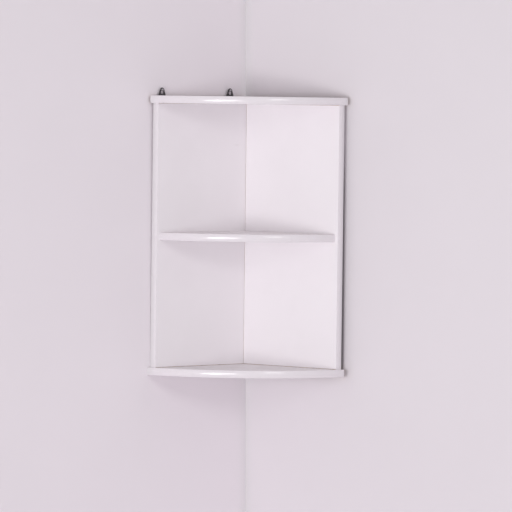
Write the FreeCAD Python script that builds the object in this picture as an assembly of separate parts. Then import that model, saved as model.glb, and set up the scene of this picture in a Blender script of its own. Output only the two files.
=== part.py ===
import FreeCAD, Part
import math
import os

# An open corner unit of laminated board with a top, a bottom and one shelf, hung by two
# steel eyes in the corner of a room. Millimetres, +Z up.
# The left panel lies along X with its back towards +Y, the right panel lies along Y with
# its back towards +X, and both meet in the rear corner. The unit opens towards -X and -Y.
# The origin is under the middle of the unit's box, on the plane of its underside.

os.makedirs("parts", exist_ok=True)

# Boards. The reach is measured from the rear corner to the crown of the edging.
HEIGHT = 600.0
BOARD_THICK = 16.0
BOARD_REACH = 300.0
BOARD_OVERHANG = 8.0
SHELF_SETBACK = 8.0
SHELF_UNDERSIDE = 290.0

# Domed edging with a barbed tongue, pressed into a groove in the board's edge
EDGING_CROWN = 2.2
EDGING_LIP = 0.6
TONGUE_DEPTH = 8.0
TONGUE_THICK = 1.6
BARB_RISE = 0.5
BARB_COUNT = 3
GROOVE_CLEARANCE = 0.1
GROOVE_SPARE = 1.0

# One-piece board screws with a hexagon socket, sunk by the thickness of their caps
SCREW_LENGTH = 50.0
HEAD_RADIUS = 4.9
HEAD_LIP = 1.0
HEAD_CONE = 2.5
COLLAR_RADIUS = 3.4
COLLAR_LENGTH = 11.0
CORE_RADIUS = 2.4
THREAD_RADIUS = 3.3
THREAD_PITCH = 3.0
THREAD_LAND = 0.3
POINT_LENGTH = 3.0
SOCKET_ACROSS = 4.0
SOCKET_DEPTH = 3.0
BORE_CLEARANCE = 0.1
BORE_SPARE = 2.0

# Plastic caps over the screws of the top and the bottom board
CAP_RADIUS = 6.0
CAP_THICK = 1.0
CAP_BEVEL = 0.3
CAP_STUB_LENGTH = 2.4
CAP_CLEARANCE = 0.1

# Wooden dowels that locate the panels under the boards
DOWEL_RADIUS = 4.0
DOWEL_LENGTH = 30.0
DOWEL_IN_BOARD = 11.0
DOWEL_CHAMFER = 0.8
DOWEL_SPARE = 1.0

# Where the fasteners are along a panel. A reach is measured from the rear corner, and an
# inset from the crown of the front edging or, in the corner, from the panel's ends.
EDGE_SCREW_REACH = 88.0
EDGE_SCREW_INSET = 68.0
SHELF_SCREW_REACH = 70.0
SHELF_SCREW_INSET = 74.0
CORNER_SCREW_INSET = 60.0

# Steel eyes on the back of the left panel. A rise is measured up from the top board's
# upper face and a drop down from it.
HANGER_THICK = 2.0
HANGER_WIDTH = 20.0
HANGER_RISE = 17.0
HANGER_DROP = 62.0
HANGER_SHOULDER = 2.5
HANGER_TOP_RADIUS = 6.2
HANGER_CORNER_RADIUS = 3.0
EYE_RADIUS = 4.5
EYE_RISE = 7.3
SLOT_WIDTH = 4.6
SLOT_END_RISE = 12.2
INNER_HANGER_REACH = 51.0
OUTER_HANGER_INSET = 29.0
HANGER_SCREW_DROP = 27.0
HANGER_SCREW_SPACING = 24.0

# Countersunk wood screws of the steel eyes, with a crosshead recess
WOOD_SCREW_LENGTH = 14.0
WOOD_SCREW_HEAD_RADIUS = 3.5
WOOD_SCREW_RADIUS = 1.75
WOOD_SCREW_POINT = 3.0
WOOD_SCREW_CLEARANCE = 0.05
RECESS_LENGTH = 3.8
RECESS_WIDTH = 0.9
RECESS_DEPTH = 1.1

# How far a cutting tool runs past the face it cuts
OVERRUN = 5.0

# Places worked out from the sizes
PANEL_REACH = BOARD_REACH - BOARD_OVERHANG
SHELF_REACH = PANEL_REACH - SHELF_SETBACK
CORNER_X = BOARD_REACH / 2
CORNER_Y = (BOARD_REACH - HANGER_THICK) / 2
PANEL_LOW = BOARD_THICK
PANEL_HIGH = HEIGHT - BOARD_THICK
BOARD_MIDDLE = BOARD_THICK / 2
SHELF_MIDDLE = SHELF_UNDERSIDE + BOARD_MIDDLE
GROOVE_WIDTH = TONGUE_THICK + 2 * (BARB_RISE + GROOVE_CLEARANCE)
GROOVE_DEPTH = TONGUE_DEPTH + GROOVE_SPARE

UP = FreeCAD.Vector(0, 0, 1)
DOWN = FreeCAD.Vector(0, 0, -1)
TOWARDS_FRONT = FreeCAD.Vector(0, -1, 0)
TOWARDS_LEFT = FreeCAD.Vector(-1, 0, 0)
REAR_CORNER = FreeCAD.Vector(CORNER_X, CORNER_Y, 0)


def save(node, *solids):
    """Write one sub-part, or a group of like ones, to its own file."""
    shape = solids[0] if len(solids) == 1 else Part.makeCompound(list(solids))
    shape.exportStep(f"parts/{node}.step")


def aimed(shape, place, direction):
    """Turn a shape made along +Z to a direction and move its origin to a place."""
    copy = shape.copy()
    copy.Placement = FreeCAD.Placement(place, FreeCAD.Rotation(UP, direction))
    return copy


def spun(outline):
    """Spin an outline of (radius, height) points a full turn about Z."""
    points = [FreeCAD.Vector(radius, 0, height) for radius, height in outline]
    face = Part.Face(Part.makePolygon(points + points[:1]))
    return face.revolve(FreeCAD.Vector(), UP, 360)


def prism(outline, height):
    """Raise a flat outline of (x, y) points by a height."""
    points = [FreeCAD.Vector(x, y, 0) for x, y in outline]
    return Part.Face(Part.makePolygon(points + points[:1])).extrude(UP * height)


# Edging


def edging_section():
    """The edging's section in X and Z: X is 0 on the board's edge and grows outwards, Z is
    0 in the middle of the board."""
    half = BOARD_THICK / 2
    root = TONGUE_THICK / 2
    pitch = TONGUE_DEPTH / BARB_COUNT
    lower = FreeCAD.Vector(EDGING_LIP, 0, -half)
    crown = FreeCAD.Vector(EDGING_CROWN, 0, 0)
    upper = FreeCAD.Vector(EDGING_LIP, 0, half)
    above = [(0, half), (0, root)]
    for barb in range(BARB_COUNT):
        above.append((-pitch * barb - pitch / 2, root + BARB_RISE))
        above.append((-pitch * (barb + 1), root))
    below = [(depth, -height) for depth, height in reversed(above)]
    inner = [FreeCAD.Vector(depth, 0, height) for depth, height in above + below]
    dome = Part.Arc(lower, crown, upper).toShape()
    back = Part.makePolygon([upper] + inner + [lower])
    return Part.Face(Part.Wire([dome] + back.Edges))


def round_edging(reach, underside):
    """A quarter turn of edging about the rear corner."""
    section = edging_section()
    section.translate(FreeCAD.Vector(reach - EDGING_CROWN, 0, underside + BOARD_MIDDLE))
    ring = section.revolve(FreeCAD.Vector(), UP, 90)
    ring.rotate(FreeCAD.Vector(), UP, 180)
    ring.translate(REAR_CORNER)
    return ring


def upright_edging():
    """Edging of a panel's height, standing on the panel's lower end, facing -X, with its
    middle on Y 0 and the board's edge on X 0."""
    section = edging_section()
    section.rotate(FreeCAD.Vector(), FreeCAD.Vector(1, 0, 0), 90)
    section.rotate(FreeCAD.Vector(), UP, 180)
    strip = section.extrude(UP * (PANEL_HIGH - PANEL_LOW))
    strip.translate(UP * PANEL_LOW)
    return strip


def upright_groove():
    """The groove of a panel's front edge, in the same place as its edging."""
    length = PANEL_HIGH - PANEL_LOW + 2 * OVERRUN
    start = FreeCAD.Vector(-OVERRUN, -GROOVE_WIDTH / 2, PANEL_LOW - OVERRUN)
    return Part.makeBox(GROOVE_DEPTH + OVERRUN, GROOVE_WIDTH, length, start)


def on_left_panel(shape):
    """Move an upright strip to the left panel's front edge."""
    moved = shape.copy()
    moved.translate(FreeCAD.Vector(CORNER_X - PANEL_REACH + EDGING_CROWN, CORNER_Y - BOARD_MIDDLE, 0))
    return moved


def on_right_panel(shape):
    """Turn an upright strip to the right panel's front edge."""
    moved = shape.copy()
    moved.rotate(FreeCAD.Vector(), UP, 90)
    moved.translate(FreeCAD.Vector(CORNER_X - BOARD_MIDDLE, CORNER_Y - PANEL_REACH + EDGING_CROWN, 0))
    return moved


def round_groove(reach, underside):
    """The groove round the curved edge of a board."""
    outer = reach - EDGING_CROWN
    low = underside + (BOARD_THICK - GROOVE_WIDTH) / 2
    ring = Part.makeCylinder(outer + OVERRUN, GROOVE_WIDTH)
    ring = ring.cut(Part.makeCylinder(outer - GROOVE_DEPTH, GROOVE_WIDTH))
    ring.translate(REAR_CORNER + UP * low)
    return ring


# Board screws, their bores and caps


def hexagon(across, height):
    """A hexagonal prism standing on Z 0, with the given size across its flats."""
    radius = across / 2 / math.cos(math.radians(30))
    angles = [math.radians(60 * side) for side in range(6)]
    return prism([(radius * math.cos(a), radius * math.sin(a)) for a in angles], height)


def board_screw():
    """A board screw along +Z. Z 0 is the face of the board that it is sunk in."""
    top = CAP_THICK
    neck = top + HEAD_LIP + HEAD_CONE
    tip = top + SCREW_LENGTH
    outline = [(0, top), (HEAD_RADIUS, top), (HEAD_RADIUS, top + HEAD_LIP), (COLLAR_RADIUS, neck)]
    thread = neck + COLLAR_LENGTH
    outline += [(COLLAR_RADIUS, thread), (CORE_RADIUS, thread)]
    ridge = thread + THREAD_PITCH / 2
    while ridge + THREAD_PITCH / 2 < tip - POINT_LENGTH:
        flank = THREAD_RADIUS - CORE_RADIUS
        outline.append((CORE_RADIUS, ridge - flank / 2 - THREAD_LAND / 2))
        outline.append((THREAD_RADIUS, ridge - THREAD_LAND / 2))
        outline.append((THREAD_RADIUS, ridge + THREAD_LAND / 2))
        outline.append((CORE_RADIUS, ridge + flank / 2 + THREAD_LAND / 2))
        ridge += THREAD_PITCH
    outline += [(CORE_RADIUS, tip - POINT_LENGTH), (0, tip)]
    socket = hexagon(SOCKET_ACROSS, SOCKET_DEPTH + OVERRUN)
    socket.translate(UP * (top - OVERRUN))
    return spun(outline).cut(socket)


def board_screw_bore():
    """The stepped bore of a board screw, with its cap's seat, in the same place."""
    seat = CAP_RADIUS + CAP_CLEARANCE
    head = HEAD_RADIUS + BORE_CLEARANCE
    collar = COLLAR_RADIUS + BORE_CLEARANCE
    lip = CAP_THICK + HEAD_LIP + BORE_CLEARANCE
    end = CAP_THICK + SCREW_LENGTH + BORE_SPARE
    outline = [(0, -OVERRUN), (seat, -OVERRUN), (seat, CAP_THICK), (head, CAP_THICK)]
    outline += [(head, lip), (collar, lip + HEAD_CONE), (collar, end), (0, end)]
    return spun(outline)


def screw_cap():
    """A cap that lies flush in its seat, with a stub in the screw's socket."""
    rim = CAP_RADIUS - CAP_BEVEL
    disc = spun([(0, 0), (rim, 0), (CAP_RADIUS, CAP_BEVEL), (CAP_RADIUS, CAP_THICK), (0, CAP_THICK)])
    stub = hexagon(SOCKET_ACROSS - 2 * CAP_CLEARANCE, CAP_STUB_LENGTH)
    stub.translate(UP * CAP_THICK)
    return disc.fuse(stub).removeSplitter()


def dowel(slack=0.0, spare=0.0):
    """A dowel along +Z. Z 0 is the joint of board and panel."""
    low = -DOWEL_IN_BOARD - spare
    high = DOWEL_LENGTH - DOWEL_IN_BOARD + spare
    side = DOWEL_RADIUS + slack
    bevel = side - DOWEL_CHAMFER
    outline = [(0, low), (bevel, low), (side, low + DOWEL_CHAMFER)]
    outline += [(side, high - DOWEL_CHAMFER), (bevel, high), (0, high)]
    return spun(outline)


# Where each group of fasteners is: pairs of a place and the direction it is driven in


def along_left(reach, height):
    """A place over the middle of the left panel, at a reach from the corner."""
    return FreeCAD.Vector(CORNER_X - reach, CORNER_Y - BOARD_MIDDLE, height)


def along_right(reach, height):
    """A place over the middle of the right panel, at a reach from the corner."""
    return FreeCAD.Vector(CORNER_X - BOARD_MIDDLE, CORNER_Y - reach, height)


EDGE_SCREW_REACHES = [EDGE_SCREW_REACH, PANEL_REACH - EDGE_SCREW_INSET]
EDGE_DOWEL_REACH = sum(EDGE_SCREW_REACHES) / 2
SHELF_SCREW_REACHES = [SHELF_SCREW_REACH, SHELF_REACH - SHELF_SCREW_INSET]
CORNER_SCREW_HEIGHTS = [
    PANEL_LOW + CORNER_SCREW_INSET,
    (PANEL_LOW + PANEL_HIGH) / 2,
    PANEL_HIGH - CORNER_SCREW_INSET,
]

BOARD_SCREWS = {
    "top_left_screws": [(along_left(reach, HEIGHT), DOWN) for reach in EDGE_SCREW_REACHES],
    "top_right_screws": [(along_right(reach, HEIGHT), DOWN) for reach in EDGE_SCREW_REACHES],
    "bottom_left_screws": [(along_left(reach, 0), UP) for reach in EDGE_SCREW_REACHES],
    "bottom_right_screws": [(along_right(reach, 0), UP) for reach in EDGE_SCREW_REACHES],
    "shelf_left_screws": [
        (FreeCAD.Vector(CORNER_X - reach, CORNER_Y, SHELF_MIDDLE), TOWARDS_FRONT)
        for reach in SHELF_SCREW_REACHES
    ],
    "shelf_right_screws": [
        (FreeCAD.Vector(CORNER_X, CORNER_Y - reach, SHELF_MIDDLE), TOWARDS_LEFT)
        for reach in SHELF_SCREW_REACHES
    ],
    "corner_screws": [
        (FreeCAD.Vector(CORNER_X - BOARD_MIDDLE, CORNER_Y, height), TOWARDS_FRONT)
        for height in CORNER_SCREW_HEIGHTS
    ],
}

CAPS = {
    "top_screw_caps": BOARD_SCREWS["top_left_screws"] + BOARD_SCREWS["top_right_screws"],
    "bottom_screw_caps": BOARD_SCREWS["bottom_left_screws"] + BOARD_SCREWS["bottom_right_screws"],
}

DOWELS = {
    "top_dowels": [
        (along_left(EDGE_DOWEL_REACH, PANEL_HIGH), DOWN),
        (along_right(EDGE_DOWEL_REACH, PANEL_HIGH), DOWN),
    ],
    "bottom_dowels": [
        (along_left(EDGE_DOWEL_REACH, PANEL_LOW), UP),
        (along_right(EDGE_DOWEL_REACH, PANEL_LOW), UP),
    ],
}

HANGERS = {"inner_hanger": INNER_HANGER_REACH, "outer_hanger": PANEL_REACH - OUTER_HANGER_INSET}


# Steel eyes


def tangent_point(px, py, cx, cy, radius):
    """Where the line from a point outside a circle touches it, on the point's side."""
    distance = math.hypot(px - cx, py - cy)
    turn = math.atan2(py - cy, px - cx) + math.acos(radius / distance)
    return cx + radius * math.cos(turn), cy + radius * math.sin(turn)


def hanger_plate():
    """The plate in X and Y, its face on Z 0. Y 0 is the level of the top board's face."""
    half = HANGER_WIDTH / 2
    centre = HANGER_RISE - HANGER_TOP_RADIUS
    tangent_x, tangent_y = tangent_point(half, HANGER_SHOULDER, 0, centre, HANGER_TOP_RADIUS)
    outline = [
        FreeCAD.Vector(-tangent_x, tangent_y, 0),
        FreeCAD.Vector(-half, HANGER_SHOULDER, 0),
        FreeCAD.Vector(-half, -HANGER_DROP, 0),
        FreeCAD.Vector(half, -HANGER_DROP, 0),
        FreeCAD.Vector(half, HANGER_SHOULDER, 0),
        FreeCAD.Vector(tangent_x, tangent_y, 0),
    ]
    apex = Part.Arc(outline[-1], FreeCAD.Vector(0, HANGER_RISE, 0), outline[0]).toShape()
    face = Part.Face(Part.Wire(Part.makePolygon(outline).Edges + [apex]))
    plate = face.extrude(UP * HANGER_THICK)
    corners = [edge for edge in plate.Edges if upright_at(edge, -HANGER_DROP)]
    plate = plate.makeFillet(HANGER_CORNER_RADIUS, corners)
    for tool in keyhole_tools():
        plate = plate.cut(tool)
    for drop in hanger_screw_drops():
        tool = wood_screw_bore()
        tool.translate(FreeCAD.Vector(0, -drop, 0))
        plate = plate.cut(tool)
    return plate


def upright_at(edge, level):
    """True for a straight edge along Z at a level of Y."""
    box = edge.BoundBox
    return box.ZLength > HANGER_THICK / 2 and abs(box.Center.y - level) < HANGER_THICK / 2


def keyhole_tools():
    """The round eye and the slot above it."""
    depth = HANGER_THICK + 2 * OVERRUN
    eye = Part.makeCylinder(EYE_RADIUS, depth, FreeCAD.Vector(0, EYE_RISE, -OVERRUN))
    slot_end = Part.makeCylinder(SLOT_WIDTH / 2, depth, FreeCAD.Vector(0, SLOT_END_RISE, -OVERRUN))
    start = FreeCAD.Vector(-SLOT_WIDTH / 2, EYE_RISE, -OVERRUN)
    slot = Part.makeBox(SLOT_WIDTH, SLOT_END_RISE - EYE_RISE, depth, start)
    return [eye, slot_end, slot]


def hanger_screw_drops():
    """How far below the top board's face the plate's screws are."""
    return [HANGER_SCREW_DROP, HANGER_SCREW_DROP + HANGER_SCREW_SPACING]


def wood_screw():
    """A countersunk screw pointing to -Z, its head flush with the plate's outer face."""
    low = HANGER_THICK - WOOD_SCREW_LENGTH
    outline = [(0, HANGER_THICK), (WOOD_SCREW_HEAD_RADIUS, HANGER_THICK), (WOOD_SCREW_RADIUS, 0)]
    outline += [(WOOD_SCREW_RADIUS, low + WOOD_SCREW_POINT), (0, low)]
    screw = spun(outline)
    for length, width in [(RECESS_LENGTH, RECESS_WIDTH), (RECESS_WIDTH, RECESS_LENGTH)]:
        start = FreeCAD.Vector(-length / 2, -width / 2, HANGER_THICK - RECESS_DEPTH)
        screw = screw.cut(Part.makeBox(length, width, RECESS_DEPTH + OVERRUN, start))
    return screw


def wood_screw_bore():
    """The countersunk hole in the plate and the pilot hole in the panel behind it."""
    head = WOOD_SCREW_HEAD_RADIUS + WOOD_SCREW_CLEARANCE
    shank = WOOD_SCREW_RADIUS + WOOD_SCREW_CLEARANCE
    low = HANGER_THICK - WOOD_SCREW_LENGTH - WOOD_SCREW_CLEARANCE
    outline = [(0, HANGER_THICK + OVERRUN), (head, HANGER_THICK + OVERRUN), (head, HANGER_THICK)]
    outline += [(shank, 0), (shank, low), (0, low)]
    return spun(outline)


def on_left_back(shape, reach, drop=0.0):
    """Stand a flat shape on the left panel's back at a reach from the corner."""
    moved = shape.copy()
    moved.rotate(FreeCAD.Vector(), FreeCAD.Vector(1, 0, 0), 90)
    moved.rotate(FreeCAD.Vector(), UP, 180)
    moved.translate(FreeCAD.Vector(CORNER_X - reach, CORNER_Y, HEIGHT - drop))
    return moved


# Boards


def all_bores():
    """Every hole that a fastener needs, in place."""
    bores = []
    for places in BOARD_SCREWS.values():
        bores += [aimed(board_screw_bore(), place, direction) for place, direction in places]
    for places in DOWELS.values():
        hole = dowel(BORE_CLEARANCE, DOWEL_SPARE)
        bores += [aimed(hole, place, direction) for place, direction in places]
    for reach in HANGERS.values():
        bores += [on_left_back(wood_screw_bore(), reach, drop) for drop in hanger_screw_drops()]
    return bores


BORES = all_bores()


def bored(board):
    """Cut the holes of the fasteners that pass through a board."""
    for bore in BORES:
        if board.BoundBox.intersect(bore.BoundBox):
            board = board.cut(bore)
    return board


def quarter_board(reach, underside):
    """A quarter-round board about the rear corner, grooved for its edging."""
    disc = Part.makeCylinder(reach - EDGING_CROWN, BOARD_THICK, FreeCAD.Vector(), UP, 90)
    disc.rotate(FreeCAD.Vector(), UP, 180)
    disc.translate(REAR_CORNER + UP * underside)
    return disc.cut(round_groove(reach, underside))


def between_panels(shape):
    """Keep what lies in front of both panels' inner faces."""
    size = BOARD_REACH + OVERRUN
    start = FreeCAD.Vector(CORNER_X - BOARD_THICK - size, CORNER_Y - BOARD_THICK - size, 0)
    return shape.common(Part.makeBox(size, size, HEIGHT, start))


def top_board():
    return bored(quarter_board(BOARD_REACH, PANEL_HIGH))


def bottom_board():
    return bored(quarter_board(BOARD_REACH, 0))


def middle_shelf():
    return bored(between_panels(quarter_board(SHELF_REACH, SHELF_UNDERSIDE)))


def left_panel():
    """Runs right into the rear corner."""
    length = PANEL_REACH - EDGING_CROWN
    start = FreeCAD.Vector(CORNER_X - length, CORNER_Y - BOARD_THICK, PANEL_LOW)
    panel = Part.makeBox(length, BOARD_THICK, PANEL_HIGH - PANEL_LOW, start)
    return bored(panel.cut(on_left_panel(upright_groove())))


def right_panel():
    """Butts against the left panel's inner face."""
    length = PANEL_REACH - EDGING_CROWN - BOARD_THICK
    start = FreeCAD.Vector(CORNER_X - BOARD_THICK, CORNER_Y - BOARD_THICK - length, PANEL_LOW)
    panel = Part.makeBox(BOARD_THICK, length, PANEL_HIGH - PANEL_LOW, start)
    return bored(panel.cut(on_right_panel(upright_groove())))


# Write every sub-part

save("top_board", top_board())
save("bottom_board", bottom_board())
save("middle_shelf", middle_shelf())
save("left_panel", left_panel())
save("right_panel", right_panel())

save("top_board_edging", round_edging(BOARD_REACH, PANEL_HIGH))
save("bottom_board_edging", round_edging(BOARD_REACH, 0))
save("middle_shelf_edging", between_panels(round_edging(SHELF_REACH, SHELF_UNDERSIDE)))
save("left_panel_edging", on_left_panel(upright_edging()))
save("right_panel_edging", on_right_panel(upright_edging()))

for node, places in BOARD_SCREWS.items():
    save(node, *[aimed(board_screw(), place, direction) for place, direction in places])

for node, places in CAPS.items():
    save(node, *[aimed(screw_cap(), place, direction) for place, direction in places])

for node, places in DOWELS.items():
    save(node, *[aimed(dowel(), place, direction) for place, direction in places])

for node, reach in HANGERS.items():
    save(node, on_left_back(hanger_plate(), reach))
    save(f"{node}_screws", *[on_left_back(wood_screw(), reach, drop) for drop in hanger_screw_drops()])
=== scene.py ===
import logging
import math
from dataclasses import dataclass, field
from enum import Enum
from typing import NamedTuple

import bmesh
import bpy
from mathutils import Matrix, Vector


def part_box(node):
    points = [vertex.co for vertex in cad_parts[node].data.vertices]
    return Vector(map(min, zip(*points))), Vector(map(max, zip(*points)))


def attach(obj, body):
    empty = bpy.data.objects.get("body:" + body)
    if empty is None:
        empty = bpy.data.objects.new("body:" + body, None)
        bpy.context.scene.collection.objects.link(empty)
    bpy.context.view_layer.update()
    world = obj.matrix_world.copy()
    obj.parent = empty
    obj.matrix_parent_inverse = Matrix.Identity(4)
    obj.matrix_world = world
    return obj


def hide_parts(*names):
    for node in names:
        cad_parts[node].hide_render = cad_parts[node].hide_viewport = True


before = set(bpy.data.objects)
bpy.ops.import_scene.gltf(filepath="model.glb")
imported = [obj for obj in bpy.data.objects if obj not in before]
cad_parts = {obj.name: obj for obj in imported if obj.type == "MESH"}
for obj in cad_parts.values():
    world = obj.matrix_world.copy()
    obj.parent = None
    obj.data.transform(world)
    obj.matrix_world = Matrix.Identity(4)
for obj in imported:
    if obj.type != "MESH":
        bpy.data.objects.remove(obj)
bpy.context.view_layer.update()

MM = 0.001
ALONG_X, ALONG_Y, UP = Vector((1, 0, 0)), Vector((0, 1, 0)), Vector((0, 0, 1))
LOG = logging.getLogger("corner_cabinet")
HANGERS = ("inner_hanger", "outer_hanger")

# Faces that meet at a smaller angle than the first shade as one, and than the second are joined.
SMOOTH_BELOW = math.radians(32)
FLAT_BELOW = math.radians(0.05)
# Points that lie closer together than this are joined, after a build and after a cut.
WELD = 0.001 * MM
CUT_WELD = 0.002 * MM
# How far a point or a face may lie off a plane that it counts as on, and how much of the way that
# a face looks has to lie along a direction that it counts as facing.
ON_PLANE = 0.0001 * MM
ON_FACE = 0.01 * MM
FACING = 0.999
# The steps of a full turn, the edges of the largest slit that a cut may leave open, and a board's
# material index for its raw core.
TURN_STEPS = 40
SLIT_EDGES = 6
CORE = 1

Colour = tuple[float, float, float]
Stretch = tuple[float, float, float]
Part = bmesh.types.BMVert | bmesh.types.BMEdge | bmesh.types.BMFace


class Slot(Enum):
    """The record's material slots of the pieces that are made here."""

    BOARD = "laminated_board"
    EDGING = "domed_edging"
    STEEL = "hanger_steel"


class Side(Enum):
    """The two walls of the corner, each with its panel."""

    LEFT = "left"
    RIGHT = "right"


# Finishes


class Grain(NamedTuple):
    """The lumps of a noise: their size in metres, octaves of finer noise, and their stirring."""

    cell: float
    detail: float = 2.0
    distortion: float = 0.0


class Band(NamedTuple):
    """A range of a number, and what its low and its high end become."""

    low: float
    high: float
    start: float
    end: float


class Recipe:
    """A material's node tree, with short calls for the nodes that the finishes share."""

    def __init__(self, name: str) -> None:
        """Start an empty material.

        Args:
            name: the material's name.
        """
        self.material = bpy.data.materials.new(name)
        self.material.use_nodes = True
        self.tree = self.material.node_tree
        self.tree.nodes.clear()
        self.output = self.node("ShaderNodeOutputMaterial")
        self.shader = self.node("ShaderNodeBsdfPrincipled")
        self.link(self.shader.outputs["BSDF"], self.output.inputs["Surface"])
        self.place = self.node("ShaderNodeTexCoord").outputs["Object"]

    def node(self, kind: str, **values: object) -> bpy.types.Node:
        """Add a node.

        Args:
            kind: the node's type name.
            values: attributes to set on it.

        Returns:
            The new node.
        """
        made = self.tree.nodes.new(kind)
        for key, value in values.items():
            setattr(made, key, value)
        return made

    def link(self, output: bpy.types.NodeSocket, target: bpy.types.NodeSocket) -> None:
        """Join two sockets."""
        self.tree.links.new(output, target)

    def shine(self, **values: object) -> None:
        """Set constant values on the shader's own sockets, by name with underscores."""
        for key, value in values.items():
            self.shader.inputs[key.replace("_", " ")].default_value = value

    def stretched(self, scale: Stretch) -> bpy.types.NodeSocket:
        """Object coordinates scaled along each axis.

        Args:
            scale: the factors along X, Y and Z.

        Returns:
            The scaled coordinates.
        """
        mapping = self.node("ShaderNodeMapping")
        mapping.inputs["Scale"].default_value = scale
        self.link(self.place, mapping.inputs["Vector"])
        return mapping.outputs["Vector"]

    def noise(
        self, grain: Grain, place: bpy.types.NodeSocket | None = None
    ) -> bpy.types.NodeSocket:
        """Cloudy noise.

        Args:
            grain: its lumps.
            place: the coordinates, or None for the object's.

        Returns:
            The noise as a number.
        """
        made = self.node("ShaderNodeTexNoise")
        made.inputs["Scale"].default_value = 1 / grain.cell
        made.inputs["Detail"].default_value = grain.detail
        made.inputs["Distortion"].default_value = grain.distortion
        self.link(place or self.place, made.inputs["Vector"])
        return made.outputs["Fac"]

    def spread(self, value: bpy.types.NodeSocket, band: Band) -> bpy.types.NodeSocket:
        """Map a number from one range to another, clamped.

        Args:
            value: the number to map.
            band: the range it comes from and what its ends become.

        Returns:
            The mapped number.
        """
        made = self.node("ShaderNodeMapRange")
        for key, number in zip(("From Min", "From Max", "To Min", "To Max"), band):
            made.inputs[key].default_value = number
        self.link(value, made.inputs["Value"])
        return made.outputs["Result"]

    def blend(
        self, share: bpy.types.NodeSocket, first: object, second: object
    ) -> bpy.types.NodeSocket:
        """Mix two colours.

        Args:
            share: how much of the second shows.
            first: a colour or a colour socket.
            second: a colour or a colour socket.

        Returns:
            The mixed colour.
        """
        made = self.node("ShaderNodeMix", data_type="RGBA")
        self.link(share, made.inputs["Factor"])
        for socket, colour in ((made.inputs[6], first), (made.inputs[7], second)):
            if isinstance(colour, tuple):
                socket.default_value = (*colour, 1.0)
            else:
                self.link(colour, socket)
        return made.outputs[2]

    def relief(
        self, height: bpy.types.NodeSocket, depth: float, under: bpy.types.NodeSocket | None = None
    ) -> bpy.types.NodeSocket:
        """Turn a height into a bumped normal.

        Args:
            height: the height from 0 to 1.
            depth: how far 1 stands above 0, in metres.
            under: a normal that this one is added to.

        Returns:
            The normal.
        """
        made = self.node("ShaderNodeBump")
        made.inputs["Strength"].default_value = 1.0
        made.inputs["Distance"].default_value = depth
        self.link(height, made.inputs["Height"])
        if under is not None:
            self.link(under, made.inputs["Normal"])
        return made.outputs["Normal"]

    def math(
        self, operation: str, first: bpy.types.NodeSocket, second: bpy.types.NodeSocket
    ) -> bpy.types.NodeSocket:
        """Join two numbers.

        Args:
            operation: the sum's name.
            first: the first number.
            second: the second number.

        Returns:
            The result.
        """
        made = self.node("ShaderNodeMath", operation=operation)
        self.link(first, made.inputs[0])
        self.link(second, made.inputs[1])
        return made.outputs[0]

    def compare(self, value: bpy.types.NodeSocket, limit: float) -> bpy.types.NodeSocket:
        """Compare a number with a limit.

        Args:
            value: the number.
            limit: the limit.

        Returns:
            1 where the number lies under the limit, else 0.
        """
        made = self.node("ShaderNodeMath", operation="LESS_THAN")
        self.link(value, made.inputs[0])
        made.inputs[1].default_value = limit
        return made.outputs[0]

    def paint(self, colour: bpy.types.NodeSocket) -> None:
        """Give the shader its colour."""
        self.link(colour, self.shader.inputs["Base Color"])

    def dull(self, roughness: bpy.types.NodeSocket) -> None:
        """Give the shader its roughness."""
        self.link(roughness, self.shader.inputs["Roughness"])

    def emboss(self, normal: bpy.types.NodeSocket) -> None:
        """Give the shader its normal."""
        self.link(normal, self.shader.inputs["Normal"])


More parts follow.
